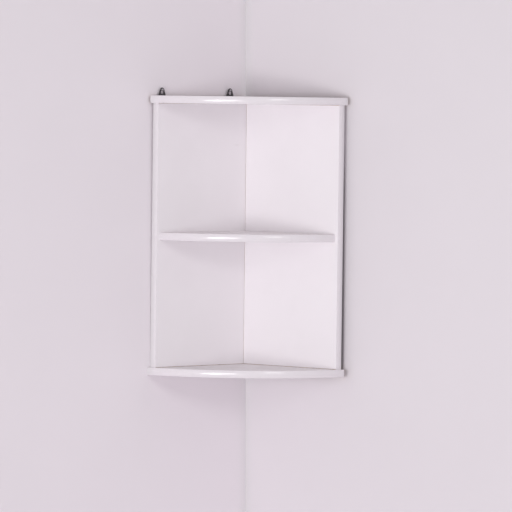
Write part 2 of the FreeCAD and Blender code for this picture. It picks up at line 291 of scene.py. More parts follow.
@dataclass(frozen=True)
class Melamine:
    """The satin printed paper and resin face of the boards."""

    tone: Colour = (0.882, 0.843, 0.874)
    deeper: Colour = (0.858, 0.817, 0.848)
    scuff: Colour = (0.700, 0.655, 0.670)
    # The upward faces' tone, mottle and share are dust and painted shade together: those faces get
    # little light from above.
    dust_and_shade_tone: Colour = (0.535, 0.520, 0.470)
    clouds: Grain = Grain(0.11, 3.0)
    clouding: Band = Band(0.38, 0.62, 0.0, 0.55)
    hairs: Grain = Grain(2.2 * MM, 4.0, 0.4)
    hair_stretch: Stretch = (0.06, 1.0, 0.35)
    hair_depth: float = 0.004 * MM
    scuffing: Band = Band(0.70, 0.80, 0.0, 0.30)
    facing_up: Band = Band(0.80, 0.98, 0.0, 1.0)
    dust_and_shade_mottle: Grain = Grain(0.03, 4.0, 0.8)
    dust_and_shade_share: Band = Band(0.3, 0.7, 0.18, 0.34)
    dust_dulling: Band = Band(0.0, 1.0, 0.0, 0.30)
    smears: Grain = Grain(0.045, 4.0, 0.6)
    dulling: Band = Band(0.3, 0.7, 0.40, 0.54)
    pearl: Grain = Grain(0.9 * MM, 2.0)
    pearl_depth: float = 0.012 * MM

    def build(self) -> bpy.types.Material:
        """Make the material: clouds, pearl relief, hairline scuffs, and dust with painted shade on
        what faces up.

        Returns:
            The material.
        """
        mix = Recipe("satin_melamine")
        clouds = mix.spread(mix.noise(self.clouds), self.clouding)
        tone = mix.blend(clouds, self.tone, self.deeper)
        hairs = mix.noise(self.hairs, mix.stretched(self.hair_stretch))
        scratched = mix.spread(hairs, self.scuffing)
        worn = mix.blend(scratched, tone, self.scuff)
        normal = mix.node("ShaderNodeSeparateXYZ")
        mix.link(mix.node("ShaderNodeNewGeometry").outputs["Normal"], normal.inputs["Vector"])
        # Upward faces are painted greyer: partly dust, partly painted shade for the little light
        # from above.
        upwards = mix.spread(normal.outputs["Z"], self.facing_up)
        film = mix.spread(mix.noise(self.dust_and_shade_mottle), self.dust_and_shade_share)
        upward_dust_and_shade = mix.math("MULTIPLY", upwards, film)
        mix.paint(mix.blend(upward_dust_and_shade, worn, self.dust_and_shade_tone))
        sheen = mix.spread(mix.noise(self.smears), self.dulling)
        matted = mix.spread(upward_dust_and_shade, self.dust_dulling)
        mix.dull(mix.math("ADD", sheen, matted))
        pearl = mix.relief(mix.noise(self.pearl), self.pearl_depth)
        mix.emboss(mix.relief(hairs, -self.hair_depth, pearl))
        mix.shine(IOR=1.5, Specular_IOR_Level=0.2)
        return mix.material


@dataclass(frozen=True)
class MouldedEdging:
    """The glossy extruded plastic of the domed edging."""

    tone: Colour = (0.760, 0.717, 0.752)
    worn: Colour = (0.720, 0.676, 0.708)
    rubs: Grain = Grain(0.018, 5.0, 0.8)
    rubbing: Band = Band(0.52, 0.72, 0.0, 0.5)
    haze: Grain = Grain(0.006, 3.0)
    dulling: Band = Band(0.3, 0.7, 0.16, 0.26)
    ripple: Grain = Grain(0.035, 1.0)
    ripple_depth: float = 0.05 * MM
    pores: Grain = Grain(1.6 * MM, 2.0)
    pore_depth: float = 0.004 * MM

    def build(self) -> bpy.types.Material:
        """Make the material: a long slow ripple in the gloss, fine haze and rubbed spots.

        Returns:
            The material.
        """
        mix = Recipe("glossy_edging")
        rubbed = mix.spread(mix.noise(self.rubs), self.rubbing)
        mix.paint(mix.blend(rubbed, self.tone, self.worn))
        mix.dull(mix.spread(mix.noise(self.haze), self.dulling))
        ripple = mix.relief(mix.noise(self.ripple), self.ripple_depth)
        mix.emboss(mix.relief(mix.noise(self.pores), self.pore_depth, ripple))
        mix.shine(IOR=1.52, Coat_Weight=0.2, Coat_Roughness=0.1)
        return mix.material


@dataclass(frozen=True)
class Chipboard:
    """The raw core of the board, where no face or edging covers it."""

    chip: Colour = (0.52, 0.38, 0.24)
    pale_chip: Colour = (0.68, 0.53, 0.36)
    gap: Colour = (0.20, 0.13, 0.08)
    chip_cell: float = 2.4 * MM
    chip_stretch: Stretch = (0.6, 0.6, 1.8)
    chip_depth: float = 0.35 * MM
    gapping: Band = Band(0.35, 0.75, 0.0, 0.8)
    dulling: Band = Band(0.0, 1.0, 0.72, 0.92)
    fibres: Grain = Grain(0.5 * MM, 3.0)
    fibre_depth: float = 0.1 * MM

    def build(self) -> bpy.types.Material:
        """Make the material: flat chips of many tones with dark gaps between them.

        Returns:
            The material.
        """
        mix = Recipe("raw_chipboard")
        chips = mix.node("ShaderNodeTexVoronoi", feature="F1")
        chips.inputs["Scale"].default_value = 1 / self.chip_cell
        chips.inputs["Randomness"].default_value = 1.0
        mix.link(mix.stretched(self.chip_stretch), chips.inputs["Vector"])
        split = mix.node("ShaderNodeSeparateColor")
        mix.link(chips.outputs["Color"], split.inputs["Color"])
        tone = mix.blend(split.outputs["Red"], self.chip, self.pale_chip)
        gaps = mix.spread(chips.outputs["Distance"], self.gapping)
        mix.paint(mix.blend(gaps, tone, self.gap))
        mix.dull(mix.spread(split.outputs["Green"], self.dulling))
        coarse = mix.relief(chips.outputs["Distance"], -self.chip_depth)
        mix.emboss(mix.relief(mix.noise(self.fibres), self.fibre_depth, coarse))
        return mix.material


@dataclass(frozen=True)
class PressedSteel:
    """The dark phosphated steel of the hanging plates."""

    tone: Colour = (0.055, 0.050, 0.055)
    bloom: Colour = (0.105, 0.095, 0.100)
    bare: Colour = (0.34, 0.33, 0.33)
    mottle: Grain = Grain(2.5 * MM, 5.0)
    mottling: Band = Band(0.35, 0.65, 0.0, 1.0)
    rubs: Grain = Grain(1.4 * MM, 3.0, 0.5)
    rub_stretch: Stretch = (1.0, 1.0, 0.3)
    rubbing: Band = Band(0.66, 0.74, 0.0, 0.8)
    dulling: Band = Band(0.0, 1.0, 0.34, 0.56)
    crystals: Grain = Grain(0.35 * MM, 3.0)
    crystal_depth: float = 0.015 * MM

    def build(self) -> bpy.types.Material:
        """Make the material: a mottled dark skin, rubbed through to bare steel in spots.

        Returns:
            The material.
        """
        mix = Recipe("phosphated_steel")
        mottle = mix.spread(mix.noise(self.mottle), self.mottling)
        tone = mix.blend(mottle, self.tone, self.bloom)
        rubs = mix.noise(self.rubs, mix.stretched(self.rub_stretch))
        rubbed = mix.spread(rubs, self.rubbing)
        mix.paint(mix.blend(rubbed, tone, self.bare))
        mix.dull(mix.spread(mottle, self.dulling))
        mix.emboss(mix.relief(mix.noise(self.crystals), self.crystal_depth))
        mix.shine(Metallic=0.85)
        return mix.material


@dataclass(frozen=True)
class ZincPlate:
    """Bright zinc plating of the screws."""

    name: str = "zinc_plate"
    tone: Colour = (0.58, 0.58, 0.60)
    stained: Colour = (0.46, 0.44, 0.40)
    roughness: float = 0.28
    stain: Grain = Grain(1.8 * MM, 4.0)
    staining: Band = Band(0.45, 0.7, 0.0, 0.7)
    stain_dulling: float = 0.2
    marks: Grain = Grain(0.25 * MM, 2.0)
    mark_depth: float = 0.008 * MM

    def build(self) -> bpy.types.Material:
        """Make the material: bright metal with a cloudy stain and turning marks.

        Returns:
            The material.
        """
        mix = Recipe(self.name)
        stain = mix.spread(mix.noise(self.stain), self.staining)
        mix.paint(mix.blend(stain, self.tone, self.stained))
        dulling = Band(0.0, 1.0, self.roughness, self.roughness + self.stain_dulling)
        mix.dull(mix.spread(stain, dulling))
        mix.emboss(mix.relief(mix.noise(self.marks), self.mark_depth))
        mix.shine(Metallic=1.0)
        return mix.material


@dataclass(frozen=True)
class CapPlastic:
    """Matt white moulded plastic of the screw caps."""

    tone: Colour = (0.80, 0.76, 0.76)
    grimy: Colour = (0.66, 0.62, 0.60)
    grime: Grain = Grain(3.0 * MM, 4.0)
    griming: Band = Band(0.5, 0.75, 0.0, 0.6)
    dulling: Band = Band(0.0, 1.0, 0.45, 0.60)
    sparks: Grain = Grain(0.3 * MM, 2.0)
    spark_depth: float = 0.01 * MM

    def build(self) -> bpy.types.Material:
        """Make the material: sparked mould texture with a little grime.

        Returns:
            The material.
        """
        mix = Recipe("cap_plastic")
        grime = mix.spread(mix.noise(self.grime), self.griming)
        mix.paint(mix.blend(grime, self.tone, self.grimy))
        mix.dull(mix.spread(grime, self.dulling))
        mix.emboss(mix.relief(mix.noise(self.sparks), self.spark_depth))
        return mix.material


@dataclass(frozen=True)
class Beech:
    """Bare turned beech of the dowels."""

    early: Colour = (0.60, 0.42, 0.26)
    late: Colour = (0.47, 0.30, 0.17)
    grain: Grain = Grain(1.0 * MM, 4.0, 0.3)
    grain_stretch: Stretch = (1.0, 1.0, 0.08)
    grain_depth: float = 0.05 * MM
    toning: Band = Band(0.35, 0.65, 0.0, 1.0)
    dulling: Band = Band(0.3, 0.7, 0.55, 0.7)

    def build(self) -> bpy.types.Material:
        """Make the material: fine grain that runs along the dowels.

        Returns:
            The material.
        """
        mix = Recipe("bare_beech")
        grain = mix.noise(self.grain, mix.stretched(self.grain_stretch))
        mix.paint(mix.blend(mix.spread(grain, self.toning), self.early, self.late))
        mix.dull(mix.spread(grain, self.dulling))
        mix.emboss(mix.relief(grain, self.grain_depth))
        return mix.material


@dataclass(frozen=True)
class GapShade:
    """The deep shade painted into a backdrop's colour in the narrow gap behind a panel's front
    edge.
    """

    start: float
    reach: float = 30.0 * MM
    soft: float = 2.0 * MM
    foot: float = 0.0
    full_below: float = 0.40
    none_above: float = 0.50
    depth: float = 0.50

    def build(self, mix: Recipe) -> bpy.types.NodeSocket:
        """Lay the painted shade along the panel, fading out where the gap closes.

        Args:
            mix: the material in the making.

        Returns:
            How much of the light the shade takes.
        """
        axes = mix.node("ShaderNodeSeparateXYZ")
        mix.link(mix.place, axes.inputs["Vector"])
        inwards = Band(self.start, self.start + self.soft, 0.0, self.depth)
        end = self.start + self.reach
        before_end = Band(end - self.soft, end, 1.0, 0.0)
        fade = Band(self.full_below, self.none_above, 1.0, 0.0)
        above_foot = Band(self.foot - self.soft, self.foot, 0.0, 1.0)
        along_y = [mix.spread(axes.outputs["Y"], band) for band in (inwards, before_end)]
        along_z = [mix.spread(axes.outputs["Z"], band) for band in (fade, above_foot)]
        return mix.math("MULTIPLY", mix.math("MULTIPLY", *along_y), mix.math("MULTIPLY", *along_z))


@dataclass(frozen=True)
class StagePaint:
    """Plain matt paint of the floor and the backdrop boards, clear when seen from behind; any gap
    shade is painted into the colour.
    """

    name: str
    tone: Colour
    lets_light_by: bool = False
    shade: GapShade | None = None
    darkest: Colour = (0.0, 0.0, 0.0)
    clearance: float = 0.03
    first_bounce: float = 0.5
    second_bounce: float = 1.5
    roughness: float = 0.75
    clouds: Grain = Grain(0.35, 2.0)
    clouding: Band = Band(0.3, 0.7, 0.0, 1.0)
    cloud_lift: float = 1.015
    roller: Grain = Grain(2.5 * MM, 3.0)
    roller_depth: float = 0.05 * MM

    def build(self) -> bpy.types.Material:
        """Make the material: near flat colour with a faint roller texture, and any gap shade
        painted in.

        Returns:
            The material.
        """
        mix = Recipe(self.name)
        clouds = mix.spread(mix.noise(self.clouds), self.clouding)
        lighter = tuple(min(1.0, part * self.cloud_lift) for part in self.tone)
        tone = mix.blend(clouds, self.tone, lighter)
        # Painted shade: the colour is darkened towards black in the gap behind the panel.
        if self.shade:
            tone = mix.blend(self.shade.build(mix), tone, self.darkest)
        mix.paint(tone)
        mix.shine(Roughness=self.roughness, Specular_IOR_Level=0.25)
        mix.emboss(mix.relief(mix.noise(self.roller), self.roller_depth))
        clear = mix.node("ShaderNodeBsdfTransparent")
        choice = mix.node("ShaderNodeMixShader")
        mix.link(self.absent(mix), choice.inputs[0])
        mix.link(mix.shader.outputs["BSDF"], choice.inputs[1])
        mix.link(clear.outputs["BSDF"], choice.inputs[2])
        mix.link(choice.outputs["Shader"], mix.output.inputs["Surface"])
        return mix.material

    def absent(self, mix: Recipe) -> bpy.types.NodeSocket:
        """Where the sheet is clear: seen from behind, and to light on what the camera sees.

        A lamp's light passes it on the way to what the camera sees directly. Bounced light passes
        it where it lies closer than the clearance, so that it does not dim the part's back.

        Args:
            mix: the material in the making.

        Returns:
            1 where the sheet is clear and 0 where it is painted.
        """
        behind = mix.node("ShaderNodeNewGeometry").outputs["Backfacing"]
        if not self.lets_light_by:
            return behind
        path = mix.node("ShaderNodeLightPath")
        depth = path.outputs["Diffuse Depth"]
        direct = mix.compare(depth, self.first_bounce)
        bounced = mix.compare(depth, self.second_bounce)
        close = mix.compare(path.outputs["Ray Length"], self.clearance)
        lamp_light = mix.math("MULTIPLY", direct, path.outputs["Is Shadow Ray"])
        bounce = mix.math("MAXIMUM", path.outputs["Is Diffuse Ray"], path.outputs["Is Glossy Ray"])
        room_light = mix.math("MULTIPLY", mix.math("MULTIPLY", bounced, close), bounce)
        return mix.math("MAXIMUM", behind, mix.math("MAXIMUM", lamp_light, room_light))


@dataclass
class Finishes:
    """Every finish of the cabinet, made once."""

    board: bpy.types.Material = field(default_factory=lambda: Melamine().build())
    core: bpy.types.Material = field(default_factory=lambda: Chipboard().build())
    edging: bpy.types.Material = field(default_factory=lambda: MouldedEdging().build())
    steel: bpy.types.Material = field(default_factory=lambda: PressedSteel().build())
    zinc: bpy.types.Material = field(default_factory=lambda: ZincPlate().build())
    cap: bpy.types.Material = field(default_factory=lambda: CapPlastic().build())
    beech: bpy.types.Material = field(default_factory=lambda: Beech().build())


# Mesh helpers


def everything(bm: bmesh.types.BMesh) -> list[Part]:
    """All corners, edges and faces of a mesh."""
    return [*bm.verts, *bm.edges, *bm.faces]


def flat_face(points: list[Vector]) -> bmesh.types.BMesh:
    """Fill a closed outline with one face.

    Args:
        points: the outline's corners in order.

    Returns:
        The mesh of that face.
    """
    bm = bmesh.new()
    corners = [bm.verts.new(point) for point in points]
    for pair in zip(corners, corners[1:] + corners[:1]):
        bm.edges.new(pair)
    bmesh.ops.contextual_create(bm, geom=list(bm.edges))
    return bm


def prism(points: list[Vector], rise: Vector) -> bmesh.types.BMesh:
    """Push a flat outline through space.

    Args:
        points: the outline's corners in order.
        rise: how far and which way it is pushed.

    Returns:
        The closed mesh.
    """
    bm = flat_face(points)
    grown = bmesh.ops.extrude_face_region(bm, geom=list(bm.faces))["geom"]
    moved = [part for part in grown if isinstance(part, bmesh.types.BMVert)]
    bmesh.ops.translate(bm, verts=moved, vec=rise)
    close_up(bm)
    return bm


def close_up(bm: bmesh.types.BMesh) -> None:
    """Merge doubles, close open ends and turn the faces outwards.

    Args:
        bm: the mesh.
    """
    bmesh.ops.remove_doubles(bm, verts=bm.verts, dist=WELD)
    open_edges = [edge for edge in bm.edges if edge.is_boundary]
    if open_edges:
        bmesh.ops.holes_fill(bm, edges=open_edges, sides=0)
    bmesh.ops.recalc_face_normals(bm, faces=bm.faces)


def merge_flat(bm: bmesh.types.BMesh) -> None:
    """Join faces that lie in one plane."""
    bmesh.ops.dissolve_limit(
        bm, angle_limit=FLAT_BELOW, verts=bm.verts, edges=bm.edges, delimit={"MATERIAL"}
    )


def cut_off(bm: bmesh.types.BMesh, point: Vector, outwards: Vector) -> None:
    """Cut off what lies beyond a plane and close the cut.

    Args:
        bm: the mesh.
        point: a point of the plane.
        outwards: the plane's normal, on the side that goes.
    """
    bmesh.ops.bisect_plane(
        bm, geom=everything(bm), dist=ON_PLANE, plane_co=point, plane_no=outwards, clear_outer=True
    )
    close_up(bm)


def soften(bm: bmesh.types.BMesh, edges: list[bmesh.types.BMEdge], width: float) -> None:
    """Round edges.

    Args:
        bm: the mesh.
        edges: the edges to round.
        width: the rounding's width.
    """
    bmesh.ops.bevel(
        bm, geom=edges, offset=width, offset_type="OFFSET", segments=3, profile=0.5,
        affect="EDGES", clamp_overlap=True, material=-1,
    )


def ease(
    bm: bmesh.types.BMesh, box: tuple[Vector, Vector], first: Vector, second: Vector, width: float
) -> None:
    """Cut off the sharp arris where two flat faces meet, down to the board's core.

    Args:
        bm: the mesh.
        box: its lowest and highest corners.
        first: the way that one of the faces looks, along an axis.
        second: the way that the other looks.
        width: how far the chamfer reaches onto each face.
    """
    low, high = box
    slope = (first + second).normalized()
    arris = Vector([high[axis] if slope[axis] > 0 else low[axis] for axis in range(3)])
    cut_off(bm, arris - first * width, slope)
    for face in bm.faces:
        if face.normal.dot(slope) > FACING:
            face.material_index = CORE


def to_object(
    bm: bmesh.types.BMesh, name: str, materials: list[bpy.types.Material]
) -> bpy.types.Object:
    """Turn a mesh into an object at the origin, smooth except at its sharp edges.

    Args:
        bm: the mesh, which is freed.
        name: the object's name.
        materials: its material slots.

    Returns:
        The object.
    """
    mesh = bpy.data.meshes.new(name)
    bm.to_mesh(mesh)
    bm.free()
    for material in materials:
        mesh.materials.append(material)
    mesh.shade_smooth()
    mesh.set_sharp_from_angle(angle=SMOOTH_BELOW)
    made = bpy.data.objects.new(name, mesh)
    bpy.context.scene.collection.objects.link(made)
    return made


def carve(piece: bpy.types.Object, tools: list[bmesh.types.BMesh]) -> None:
    """Cut tools out of a piece and keep the result as its mesh.

    Args:
        piece: the object to cut.
        tools: closed meshes, which are freed.
    """
    for number, tool in enumerate(tools):
        cutter = to_object(tool, f"tool_{piece.name}_{number}", list(piece.data.materials))
        cut = piece.modifiers.new("cut", "BOOLEAN")
        cut.operation = "DIFFERENCE"
        cut.solver = "EXACT"
        cut.object = cutter
        view = bpy.context.evaluated_depsgraph_get()
        carved = bpy.data.meshes.new_from_object(piece.evaluated_get(view))
        old = piece.data
        piece.modifiers.remove(cut)
        piece.data = carved
        carved.name = old.name
        bpy.data.meshes.remove(old)
        waste = cutter.data
        bpy.data.objects.remove(cutter)
        bpy.data.meshes.remove(waste)
    bm = bmesh.new()
    bm.from_mesh(piece.data)
    bmesh.ops.remove_doubles(bm, verts=bm.verts, dist=CUT_WELD)
    slits = [edge for edge in bm.edges if edge.is_boundary]
    if slits:
        bmesh.ops.holes_fill(bm, edges=slits, sides=SLIT_EDGES)
    bm.to_mesh(piece.data)
    bm.free()
    piece.data.shade_smooth()
    piece.data.set_sharp_from_angle(angle=SMOOTH_BELOW)


def revolved(
    profile: list[tuple[float, float]], place: Vector, direction: Vector, finish: int = 0
) -> bmesh.types.BMesh:
    """Spin a profile a full turn.

    Args:
        profile: points of radius and depth, the first and last on the axis.
        place: where depth 0 is.
        direction: the way depth grows.
        finish: the material index of its faces.

    Returns:
        The closed mesh.
    """
    bm = bmesh.new()
    corners = [bm.verts.new((radius, 0, depth)) for radius, depth in profile]
    edges = [bm.edges.new(pair) for pair in zip(corners, corners[1:])]
    bmesh.ops.spin(
        bm, geom=corners + edges, cent=(0, 0, 0), axis=(0, 0, 1), dvec=(0, 0, 0),
        angle=math.tau, steps=TURN_STEPS, use_merge=True, use_duplicate=False,
    )
    close_up(bm)
    for face in bm.faces:
        face.material_index = finish
    turn = UP.rotation_difference(direction).to_matrix().to_4x4()
    bmesh.ops.transform(bm, matrix=Matrix.Translation(place) @ turn, verts=bm.verts)
    return bm


def hand_over(piece: bpy.types.Object, node: str) -> None:
    """Let a piece stand for a node of the frame.

    Args:
        piece: the finished object.
        node: the node that it replaces.
    """
    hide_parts(node)
    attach(piece, "root")
    LOG.info("%s: %d faces, replaces %s", piece.name, len(piece.data.polygons), node)


# Carcass


@dataclass(frozen=True)
class Carcass:
    """The cabinet's main planes, read from the frame, and the sizes of its edging."""

    corner: Vector = field(default_factory=lambda: Vector((
        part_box("top_board")[1].x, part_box("top_board")[1].y, 0.0,
    )))
    thick: float = field(default_factory=lambda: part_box("bottom_board")[1].z)
    height: float = field(default_factory=lambda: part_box("top_board")[1].z)
    crown: float = 2.16 * MM
    lip: float = 0.6 * MM
    tongue_deep: float = 8.0 * MM
    tongue_thick: float = 1.6 * MM
    barb_rise: float = 0.5 * MM
    barbs: int = 3
    groove_spare: float = 1.0 * MM
    groove_slack: float = 0.1 * MM
    arris: float = 0.5 * MM
    joint_arris: float = 0.8 * MM
    rim: float = 0.15 * MM
    steps: int = 96
    dome_steps: int = 16

    @property
    def groove_half(self) -> float:
        """Half the groove's width."""
        return self.tongue_thick / 2 + self.barb_rise + self.groove_slack

    @property
    def groove_deep(self) -> float:
        """The groove's depth."""
        return self.tongue_deep + self.groove_spare

    def reach(self, node: str) -> float:
        """How far a node reaches from the rear corner along -X."""
        return self.corner.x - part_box(node)[0].x

    def edging_section(self) -> list[tuple[float, float]]:
        """The edging's section: the dome, its lips, and the tongue with its barbs.

        Returns:
            Points of depth, outwards from the board's edge, and height from its middle.
        """
        half = self.thick / 2
        rise = self.crown - self.lip
        radius = (half * half + rise * rise) / (2 * rise)
        opening = math.asin(half / radius)
        dome = []
        for step in range(self.dome_steps + 1):
            turn = opening * (2 * step / self.dome_steps - 1)
            dome.append((self.crown - radius + radius * math.cos(turn), radius * math.sin(turn)))
        root = self.tongue_thick / 2
        pitch = self.tongue_deep / self.barbs
        upper = [(0.0, half - self.rim), (0.0, root)]
        for barb in range(self.barbs):
            upper.append((-pitch * (barb + 0.5), root + self.barb_rise))
            upper.append((-pitch * (barb + 1), root))
        lower = [(depth, -height) for depth, height in reversed(upper)]
        lips = [(self.rim, half), (self.rim, -half)]
        return dome + lips[:1] + upper + lower + lips[1:]

    def grooved_edge(self) -> list[tuple[float, float]]:
        """A board's edge with the groove for the tongue.

        Returns:
            Points of depth, outwards from the edge, and height from its middle.
        """
        half = self.thick / 2
        return [
            (-self.rim, -half),
            (0.0, -half + self.rim),
            (0.0, -self.groove_half),
            (-self.groove_deep, -self.groove_half),
            (-self.groove_deep, self.groove_half),
            (0.0, self.groove_half),
            (0.0, half - self.rim),
            (-self.rim, half),
        ]


@dataclass(frozen=True)
class BoardScrewBore:
    """The stepped bore of a board screw, with the seat of its cap."""

    place: Vector
    direction: Vector
    seat_radius: float = 6.1 * MM
    seat_deep: float = 1.0 * MM
    head_radius: float = 5.0 * MM
    head_deep: float = 2.1 * MM
    cone_deep: float = 4.6 * MM
    collar_radius: float = 3.5 * MM
    end: float = 53.0 * MM
    overrun: float = 3.0 * MM

    def tool(self) -> bmesh.types.BMesh:
        """Make the tool that cuts the bore.

        Returns:
            A closed mesh, its faces in the core's material.
        """
        profile = [
            (0.0, -self.overrun),
            (self.seat_radius, -self.overrun),
            (self.seat_radius, self.seat_deep),
            (self.head_radius, self.seat_deep),
            (self.head_radius, self.head_deep),
            (self.collar_radius, self.cone_deep),
            (self.collar_radius, self.end),
            (0.0, self.end),
        ]
        return revolved(profile, self.place, self.direction, CORE)


@dataclass(frozen=True)
class DowelBore:
    """The hole of a dowel, through the joint of a board and a panel."""

    place: Vector
    length: float
    radius: float = 4.1 * MM
    clearance: float = 0.1 * MM
    spare: float = 0.5 * MM

    def tool(self) -> bmesh.types.BMesh:
        """Make the tool that cuts the hole.

        Returns:
            A closed mesh, its faces in the core's material.
        """
        top = self.length + self.spare
        profile = [(0.0, -self.spare), (self.radius, -self.spare), (self.radius, top), (0.0, top)]
        return revolved(profile, self.place, UP, CORE)


def dowel_places(node: str) -> tuple[DowelBore, DowelBore]:
    """Read from the frame where a pair of dowels stands.

    Args:
        node: the pair's node.

    Returns:
        The left panel's hole and the right panel's.
    """
    low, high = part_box(node)
    dowel = DowelBore.radius - DowelBore.clearance
    length = high.z - low.z
    left = DowelBore(Vector((low.x + dowel, high.y - dowel, low.z)), length)
    right = DowelBore(Vector((high.x - dowel, low.y + dowel, low.z)), length)
    return left, right


def screw_places(node: str, along: int, facing: Vector) -> list[BoardScrewBore]:
    """Read from the frame where a group of two screws goes in.

    Args:
        node: the group's node.
        along: the axis along which the screws are spaced, 0 to 2.
        facing: the direction they are driven in.

    Returns:
        A bore for each screw of the group's ends.
    """
    low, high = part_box(node)
    width = min(high - low)
    heads = [low[axis] if facing[axis] > 0 else high[axis] for axis in range(3)]
    drive = next(axis for axis in range(3) if facing[axis])
    bores = []
    for end in (low[along] + width / 2, high[along] - width / 2):
        place = (low + high) / 2
        place[along] = end
        place[drive] = heads[drive] - facing[drive] * BoardScrewBore.seat_deep
        bores.append(BoardScrewBore(place, facing))
    return bores


@dataclass
class QuarterBoard:
    """A quarter-round board with its domed edging."""

    node: str
    carcass: Carcass
    finishes: Finishes
    between_panels: bool = False
    bores: list[BoardScrewBore | DowelBore] = field(default_factory=list)

    @property
    def underside(self) -> float:
        """The height of the board's underside."""
        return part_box(self.node)[0].z

    @property
    def edge_radius(self) -> float:
        """The radius of the board's own edge, under the edging."""
        return self.carcass.reach(self.node)

    def turned(self, section: list[tuple[float, float]]) -> bmesh.types.BMesh:
        """Spin a section of radius and height a quarter turn about the rear corner.

        Args:
            section: the closed section.

        Returns:
            The closed mesh, in place.
        """
        corner, middle = self.carcass.corner, self.underside + self.carcass.thick / 2
        outline = [corner + Vector((-radius, 0, middle + height)) for radius, height in section]
        bm = flat_face(outline)
        bmesh.ops.spin(
            bm, geom=everything(bm), cent=corner, axis=UP, dvec=(0, 0, 0), angle=math.radians(90),
            steps=self.carcass.steps, use_merge=False, use_duplicate=False,
        )
        close_up(bm)
        if self.between_panels:
            self.trim(bm)
        merge_flat(bm)
        return bm

    def trim(self, bm: bmesh.types.BMesh) -> None:
        """Cut away what would lie inside the side panels.

        Args:
            bm: the board's or the edging's mesh.
        """
        inner = self.carcass.corner - (ALONG_X + ALONG_Y) * self.carcass.thick
        for normal in (ALONG_X, ALONG_Y):
            cut_off(bm, inner, normal)

    def is_rear(self, face: bmesh.types.BMFace) -> bool:
        """Tell whether a face lies in one of the two straight rear edges, which are raw core.

        Args:
            face: a face of the board.

        Returns:
            True for a face of a rear edge.
        """
        inset = self.carcass.thick if self.between_panels else 0.0
        gap = self.carcass.corner - face.calc_center_median()
        off_plane = min(abs(gap.x - inset), abs(gap.y - inset))
        return off_plane < ON_FACE and abs(face.normal.z) < 1 - FACING

    def build_board(self) -> bpy.types.Object:
        """Make the board: its grooved edge spun round, its rear arrises cut off, its bores cut.

        Returns:
            The board.
        """
        edge = [(self.edge_radius + depth, height) for depth, height in self.carcass.grooved_edge()]
        half = self.carcass.thick / 2
        bm = self.turned([(0.0, -half), *edge, (0.0, half)])
        width = self.carcass.joint_arris if self.between_panels else self.carcass.arris
        for rear in (ALONG_X, ALONG_Y):
            for upright in (UP, -UP):
                ease(bm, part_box(self.node), rear, upright, width)
        for face in bm.faces:
            if self.is_rear(face):
                face.material_index = CORE
        board = to_object(bm, f"{self.node}_faced", [self.finishes.board, self.finishes.core])
        carve(board, [bore.tool() for bore in self.bores])
        return board

    def build_edging(self) -> bpy.types.Object:
        """Make the edging: its barbed section spun round the board's edge.

        Returns:
            The edging.
        """
        section = self.carcass.edging_section()
        bm = self.turned([(self.edge_radius + depth, height) for depth, height in section])
        return to_object(bm, f"{self.node}_edging_domed", [self.finishes.edging])

    def make(self) -> None:
        """Build and dress the board and its edging."""
        hand_over(self.build_board(), self.node)
        hand_over(self.build_edging(), f"{self.node}_edging")


@dataclass
class SidePanel:
    """A side panel with the domed edging of its front edge."""

    side: Side
    carcass: Carcass
    finishes: Finishes
    bores: list[BoardScrewBore | DowelBore] = field(default_factory=list)

    @property
    def node(self) -> str:
        """The panel's node."""
        return f"{self.side.value}_panel"

    def placed(self, depth: float, across: float, front: float) -> Vector:
        """A point of the panel's plan.

        Args:
            depth: how far it lies out of the front edge.
            across: how far it lies from the panel's middle, towards the wall.
            front: the distance of the front edge from the rear corner.

        Returns:
            The point, on the plane of the origin.
        """
        along = front + depth
        wall = self.carcass.thick / 2 - across
        if self.side is Side.LEFT:
            return self.carcass.corner + Vector((-along, -wall, 0))
        return self.carcass.corner + Vector((-wall, -along, 0))

    def raised(self, section: list[tuple[float, float]]) -> bmesh.types.BMesh:
        """Raise a section of depth and width to the panel's height.

        Args:
            section: the closed section, measured from the front edge.

        Returns:
            The closed mesh, in place.
        """
        low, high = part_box(self.node)
        front = self.carcass.corner - low
        distance = front.x if self.side is Side.LEFT else front.y
        foot = Vector((0, 0, low.z))
        outline = [self.placed(*point, distance) + foot for point in section]
        return prism(outline, Vector((0, 0, high.z - low.z)))

    def build_panel(self) -> bpy.types.Object:
        """Make the panel: a grooved board, its rear end raw, the arrises of its ends cut off.

        Returns:
            The panel.
        """
        low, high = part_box(self.node)
        length = (high - low)[0 if self.side is Side.LEFT else 1]
        half = self.carcass.thick / 2
        bm = self.raised([(-length, -half), *self.carcass.grooved_edge(), (-length, half)])
        rear, wall = (ALONG_X, ALONG_Y) if self.side is Side.LEFT else (ALONG_Y, ALONG_X)
        for face in bm.faces:
            if face.normal.dot(rear) > FACING:
                face.material_index = CORE
        for broad in (wall, -wall):
            for end in (UP, -UP, rear):
                ease(bm, (low, high), broad, end, self.carcass.joint_arris)
        panel = to_object(bm, f"{self.node}_faced", [self.finishes.board, self.finishes.core])
        carve(panel, [bore.tool() for bore in self.bores])
        return panel

    def build_edging(self) -> bpy.types.Object:
        """Make the edging of the front edge."""
        bm = self.raised(self.carcass.edging_section())
        return to_object(bm, f"{self.node}_edging_domed", [self.finishes.edging])

    def make(self) -> None:
        """Build and dress the panel and its edging."""
        hand_over(self.build_panel(), self.node)
        hand_over(self.build_edging(), f"{self.node}_edging")


# Steel


